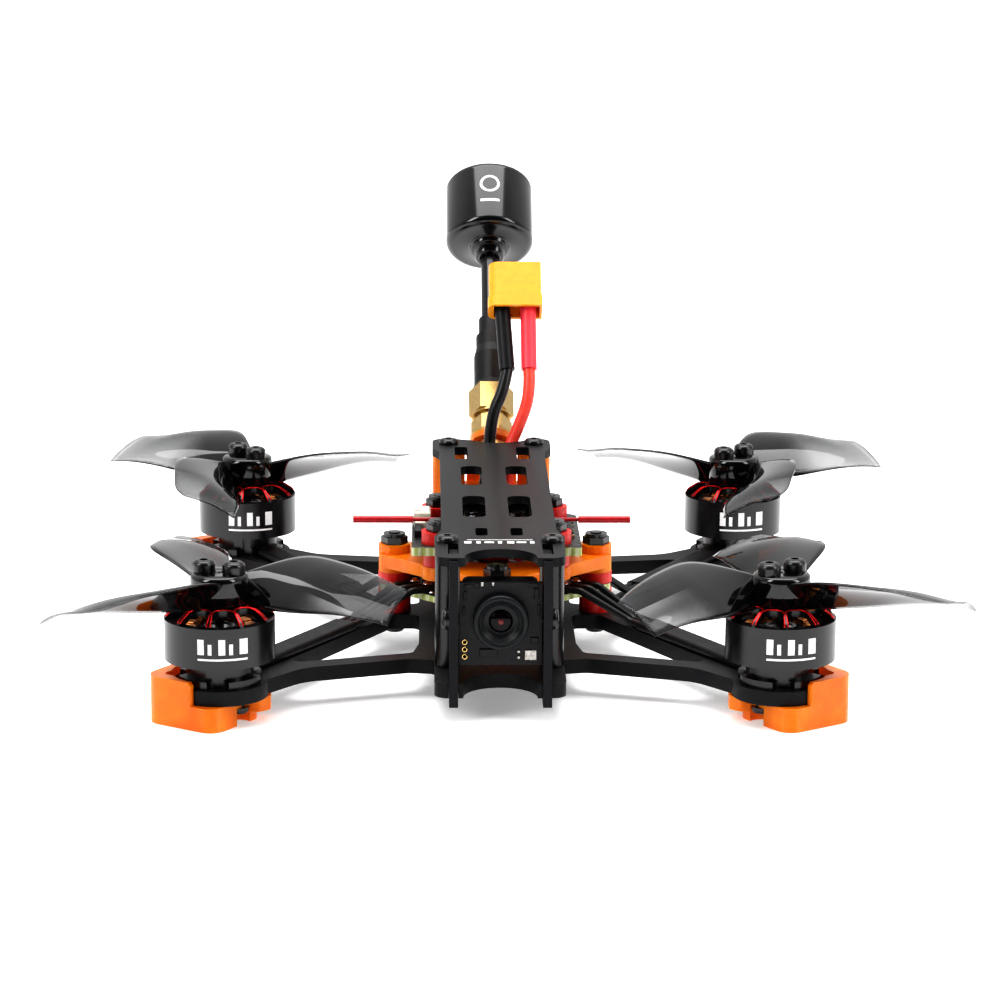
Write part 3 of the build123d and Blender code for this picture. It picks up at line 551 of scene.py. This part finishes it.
def front(place, size, depth=0.35):
    """A flat part on the camera board's face: centre x, z and size, standing forward."""
    verts, faces = brick((0, 0, 0), (size[0], size[1], depth), 0.08)
    return [Vector((v.x + place[0], BOARD_FACE - v.z, v.y + place[1])) for v in verts], faces


def camera_face():
    """Chips, small cans and three ringed pads on the camera board."""
    chips = [((-5.4, 12.2), (1.3, 0.7)), ((-4.0, 12.3), (0.7, 0.9)), ((-5.9, 10.6), (0.5, 1.5)),
             ((5.9, 11.0), (0.8, 1.8)), ((5.4, 12.4), (1.6, 0.5)), ((-2.0, 0.9), (3.0, 1.3)),
             ((5.6, 3.0), (1.3, 1.0)), ((-6.1, 8.0), (0.4, 1.6)), ((6.3, 8.2), (0.4, 1.8))]
    piece("camera_chips", *join([front(p, s) for p, s in chips]), "chip_black", "camera", smooth=False)
    shiny = [((5.0, 0.5), (2.0, 1.7)), ((-3.1, 12.6), (0.5, 0.7)), ((-1.3, 12.6), (0.4, 0.6)),
             ((3.0, 1.1), (0.5, 0.5)), ((3.0, 0.1), (0.5, 0.5))]
    piece("camera_cans", *join([front(p, s, 0.3) for p, s in shiny]), "bright_steel", "camera",
          plain("tinned_can", (0.42, 0.4, 0.38), 0.42, 1.0, 2500, 0.3), smooth=False)
    pads = []
    for k in range(3):
        ring = [(0.28, 0.0), (0.28, 0.12), (0.5, 0.12), (0.5, 0.0)]
        pads.append(lathe(ring, (-6.0, BOARD_FACE, 0.2 + 1.25 * k), (0, -1, 0), 16))
    piece("camera_pads", *join(pads), "brass", "camera", GOLD)


lens()
camera_face()


# ------------------------------------------------------------------ board parts
def pad_blobs():
    """Solder on the motor wires' pads and round the speed controller's edge."""
    blob = [(0.95, 0.0), (0.85, 0.35), (0.5, 0.62), (0.0001, 0.72)]
    parts = []
    for sx in (1, -1):
        for sy in (1, -1):
            for px, py in ((15.6, 4.6), (13.3, 6.9), (11.0, 9.2)):
                parts.append(lathe(blob, (sx * (px + 0.2), sy * (py + 0.1), 1.35), (0, 0, 1), 16))
                parts.append(lathe(blob, (sx * (px - 1.2), sy * (py - 1.2), 2.0), (0, 0, 1), 16))
    piece("solder_joints", *join(parts), "bright_steel", "airframe", SOLDER)


def small_parts():
    """Rows of passives and packages along the visible edges of both boards."""
    black, tan = [], []
    for k in range(46):
        a = 2 * math.pi * k / 46 + 0.05
        r = 17.6 / (abs(math.cos(a)) + abs(math.sin(a)))
        x, y = r * math.cos(a), r * math.sin(a)
        if abs(x) < 7 and abs(y) > 11 or abs(y) < 4.5:
            continue
        size = random.choice([(0.9, 0.5, 0.45), (1.3, 0.9, 0.6), (0.7, 0.4, 0.3)])
        turn = random.choice([0.785, -0.785])
        (tan if k % 3 == 0 else black).append(brick((x, y, AIO_TOP), size, 0.06, turn))
    for x in (-13.6, 13.6):
        for y in range(-6, 6, 2):
            size = random.choice([(0.9, 0.5, 0.4), (0.6, 1.1, 0.5)])
            (tan if y % 4 else black).append(brick((x, y, VTX_TOP), size, 0.06))
    for x in range(-7, 8, 2):
        black.append(brick((x, -13.0, VTX_TOP), (0.9, 0.6, 0.45), 0.06))
    piece("board_passives", *join(black), "chip_black", "airframe", smooth=False)
    piece("board_capacitors", *join(tan), "circuit_board", "airframe",
          plain("ceramic_capacitor", (0.32, 0.22, 0.13), 0.45, 0.0, 2000, 0.2), smooth=False)


def vtx_plug():
    """Pale side connector with its pins, and a metal clip beside it."""
    body = [brick((-13.05, 4.1, VTX_TOP), (3.0, 5.2, 2.8), 0.3),
            brick((-13.4, -0.2, VTX_TOP), (1.8, 1.8, 1.6), 0.2),
            brick((-13.9, 4.1, 13.4), (1.0, 3.4, 0.5), 0.15)]
    piece("vtx_socket", *join(body), "circuit_board", "airframe", CONNECTOR, smooth=False)
    clip = [brick((-14.6, y, VTX_TOP), (0.5, 0.9, 2.2), 0.1) for y in (2.4, 4.1, 5.8)]
    clip += [brick((-13.6, -4.9, 10.85), (1.2, 1.4, 0.7), 0.15)]
    piece("vtx_clip", *join(clip), "bright_steel", "airframe", smooth=False)


def stack_bits():
    """Bright and dark parts on the receiver, seen through the windows of the top deck."""
    bright, dark = [], []
    for k in range(34):
        x, y = random.uniform(-5.0, 5.0), random.uniform(-3.3, 4.6)
        size = (random.uniform(0.4, 1.3), random.uniform(0.3, 0.8), random.uniform(0.2, 0.5))
        turn = random.choice([0, 0, 1.57])
        (bright if k % 3 else dark).append(brick((x, y, RECEIVER_TOP), size, 0.08, turn))
    for k in range(26):
        x, y = random.uniform(-5.8, 5.8), random.uniform(-11.0, -5.4)
        size = (random.uniform(0.4, 1.3), random.uniform(0.3, 0.8), random.uniform(0.2, 0.4))
        (bright if k % 2 else dark).append(brick((x, y, SHIELD_TOP), size, 0.08))
    piece("receiver_solder", *join(bright), "bright_steel", "airframe", SOLDER, smooth=False)
    piece("receiver_chips", *join(dark), "chip_black", "airframe", smooth=False)


pad_blobs()
small_parts()
stack_bits()
vtx_plug()


# ------------------------------------------------------------------ generic white marks
def band_patch(key, low, high, a0, a1, r=9.215):
    """A patch of white print on the wall of a bell, between two angles in degrees."""
    x, y = MOTORS[key]
    verts, faces = [], []
    steps = max(2, int((a1 - a0) / 3))
    for i in range(steps + 1):
        a = math.radians(a0 + (a1 - a0) * i / steps)
        for z in (low, high):
            verts.append(Vector((x + r * math.cos(a), y + r * math.sin(a), z)))
    for i in range(steps):
        faces.append((2 * i, 2 * i + 2, 2 * i + 3, 2 * i + 1))
    return verts, faces


def bell_print(key):
    """Plain bars of print round the bell, in two places."""
    parts = []
    for centre in (-84, 96):
        for k, (w, high) in enumerate([(7, 5.2), (4, 4.4), (7, 5.2), (4, 4.4), (9, 5.2)]):
            a = centre - 26 + 11 * k
            parts.append(band_patch(key, 2.6, high, a, a + w))
        parts.append(band_patch(key, 1.6, 1.95, centre - 26, centre + 27))
    piece(f"bell_print_{key}", *join(parts), "black_anodised", f"rotor_{key}", PRINT)


for key in MOTORS:
    bell_print(key)


def plate_print():
    """A row of bars near the front of the top deck, and one line under them."""
    sizes = [(1.2, 1.6), (0.7, 1.6), (1.6, 1.0), (0.7, 1.6), (1.2, 1.6), (1.6, 1.0), (0.7, 1.6)]
    bars = []
    for k, (w, d) in enumerate(sizes):
        bars.append(brick((-5.4 + 1.8 * k, -38.4, DECK_TOP), (w, d, 0.02), 0.0))
    bars.append(brick((0.0, -36.6, DECK_TOP), (11.0, 0.3, 0.02), 0.0))
    piece("deck_print", *join(bars), "circuit_board", "airframe", PRINT, smooth=False)


def cap_print():
    """A plain ring and a bar on the front of the antenna cap."""
    side = Vector((1, 0, 0))
    face = ANT_AXIS.cross(side)
    if face.y > 0:
        face = -face
    r = 8.72

    def spot(a, h):
        return ANT_BASE + ANT_AXIS * h + (face * math.cos(a) + side * math.sin(a)) * r

    verts, faces = [], []
    for t in range(33):
        b = 2 * math.pi * t / 32
        for k in (1.5, 2.0):
            verts.append(spot(k * math.cos(b) / r, 51.5 + k * math.sin(b)))
    for t in range(32):
        faces.append((2 * t, 2 * t + 2, 2 * t + 3, 2 * t + 1))
    n = len(verts)
    for t in range(9):
        a = (-1.9 + 3.8 * t / 8) / r
        verts += [spot(a, 47.2), spot(a, 47.8)]
    for t in range(8):
        faces.append((n + 2 * t, n + 2 * t + 2, n + 2 * t + 3, n + 2 * t + 1))
    piece("cap_print", verts, faces, "gloss_black", "airframe", PRINT)


def cap():
    """The antenna cap turned smooth, with its stepped boss."""
    quarter = [math.pi / 2 * i / 6 for i in range(7)]
    rim = [(CAP_R - 1.5 + 1.5 * math.sin(a), 43.7 - 1.5 * math.cos(a)) for a in quarter]
    top = [(CAP_R - 1.5 + 1.5 * math.cos(a), 55.7 + 1.5 * math.sin(a)) for a in quarter]
    profile = [(1.8, 43.0), (1.8, 39.2), (2.6, 39.2), (2.9, 39.5), (2.9, 40.9), (3.1, 41.0), (3.6, 41.0),
               (3.9, 41.3), (3.9, 41.9), (4.3, 42.2)] + rim + top + [(0.0001, 57.2)]
    obj = piece("cap_shell", *lathe(profile, ANT_BASE, ANT_AXIS, 72), "gloss_black", "airframe")
    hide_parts("antenna_cap")


cap()
plate_print()
cap_print()


# ------------------------------------------------------------------ battery lead
LEADS = {
    "black": [(-4.6, 14.0, 2.6), (-4.3, 22.0, 3.0), (-3.1, 29.4, 5.4), (-1.6, 36.8, 8.4),
              (-0.5, 45.2, 14.2), (0.2, 46.2, 22.6), (2.4, 46.9, 27.0), (3.1, 49.0, 30.6)],
    "red": [(4.6, 14.0, 2.6), (4.7, 22.0, 3.0), (4.2, 29.4, 5.4), (3.4, 36.8, 8.4),
            (2.6, 45.2, 14.2), (6.0, 46.2, 21.8), (7.45, 46.9, 26.6), (7.3, 49.0, 30.7)],
}
PLUG = ["xt30_body", "xt30_contacts"]


def lead(colour, points, slot):
    """One wire of the battery lead as a NURBS cord."""
    curve = bpy.data.curves.new(f"battery_lead_{colour}", "CURVE")
    curve.dimensions = "3D"
    curve.bevel_depth = 1.15 * MM
    curve.bevel_resolution = 6
    curve.use_fill_caps = True
    line = curve.splines.new("NURBS")
    line.points.add(len(points) - 1)
    for point, p in zip(line.points, points):
        point.co = (*at(*p), 1)
    line.order_u = 3
    line.use_endpoint_u = True
    line.resolution_u = 10
    obj = bpy.data.objects.new(f"battery_lead_{colour}", curve)
    bpy.context.scene.collection.objects.link(obj)
    curve.materials.append(MATS[slot])
    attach(obj, "airframe")
    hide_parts(f"lead_{colour}")
    with_pieces = [NODES[f"shrink_{colour}"]]
    if colour == "red":
        with_pieces += [NODES[n] for n in PLUG]


lead("black", LEADS["black"], "black_silicone")
lead("red", LEADS["red"], "red_wire")


# ------------------------------------------------------------------ stage, camera, lights
def stage():
    mesh = bpy.data.meshes.new("studio_floor")
    mesh.from_pydata([(-3, -3, 0), (3, -3, 0), (3, 3, 0), (-3, 3, 0)], [], [(0, 1, 2, 3)])
    floor = bpy.data.objects.new("studio_floor", mesh)
    bpy.context.scene.collection.objects.link(floor)
    mesh.materials.append(plain("pale_floor", (0.93, 0.93, 0.93), 0.9, 0.0, 40, 0.01, 0.0,
                                Emission_Color=(1, 1, 1, 1), Emission_Strength=0.25))


def area(name, place, target, size, power):
    light = bpy.data.lights.new(name, "AREA")
    light.shape = "RECTANGLE"
    light.size, light.size_y = size
    light.energy = power
    obj = bpy.data.objects.new(name, light)
    bpy.context.scene.collection.objects.link(obj)
    obj.location = place
    obj.rotation_euler = (Vector(target) - Vector(place)).to_track_quat("-Z", "Y").to_euler()


def camera():
    cam = bpy.data.cameras.new("view")
    cam.lens = 125.6
    cam.sensor_width = 36.0
    cam.clip_end = 20
    obj = bpy.data.objects.new("view", cam)
    bpy.context.scene.collection.objects.link(obj)
    eye, target = at(-12.514, -607.078, 152.764), at(0.807, 0, 16.143)
    look = (target - eye).to_track_quat("-Z", "Y").to_matrix()
    look = look @ Matrix.Rotation(math.radians(0.318), 3, "Z")
    obj.matrix_world = Matrix.Translation(eye) @ look.to_4x4()
    bpy.context.scene.camera = obj


def lights():
    """White all round, but dim where the camera stands, so that black parts stay black."""
    world = bpy.data.worlds.new("studio")
    world.use_nodes = True
    tree = world.node_tree
    back = tree.nodes["Background"]
    coord = tree.nodes.new("ShaderNodeTexCoord")
    split = tree.nodes.new("ShaderNodeSeparateXYZ")
    ramp = tree.nodes.new("ShaderNodeValToRGB")
    span = tree.nodes.new("ShaderNodeMapRange")
    tree.links.new(coord.outputs["Generated"], split.inputs["Vector"])
    tree.links.new(split.outputs["Y"], span.inputs["Value"])
    span.inputs["From Min"].default_value = -1.0
    tree.links.new(span.outputs["Result"], ramp.inputs["Fac"])
    ramp.color_ramp.elements[0].position = 0.12
    ramp.color_ramp.elements[0].color = (0.06, 0.06, 0.06, 1)
    ramp.color_ramp.elements[1].position = 0.6
    ramp.color_ramp.elements[1].color = (1, 1, 1, 1)
    tree.links.new(ramp.outputs["Color"], back.inputs["Color"])
    back.inputs["Strength"].default_value = 0.75
    bpy.context.scene.world = world
    area("overhead", (0.0, 0.1, 1.3), (0, 0, 0.02), (1.4, 1.0), 16)
    area("key", (-0.9, -0.6, 0.8), (0, 0, 0.02), (0.35, 0.8), 6)
    area("fill", (0.9, -0.5, 0.6), (0, 0, 0.02), (0.3, 0.8), 4)


bpy.context.scene.view_settings.view_transform = "Standard"
bpy.context.scene.view_settings.look = "High Contrast"
stage()
camera()
lights()
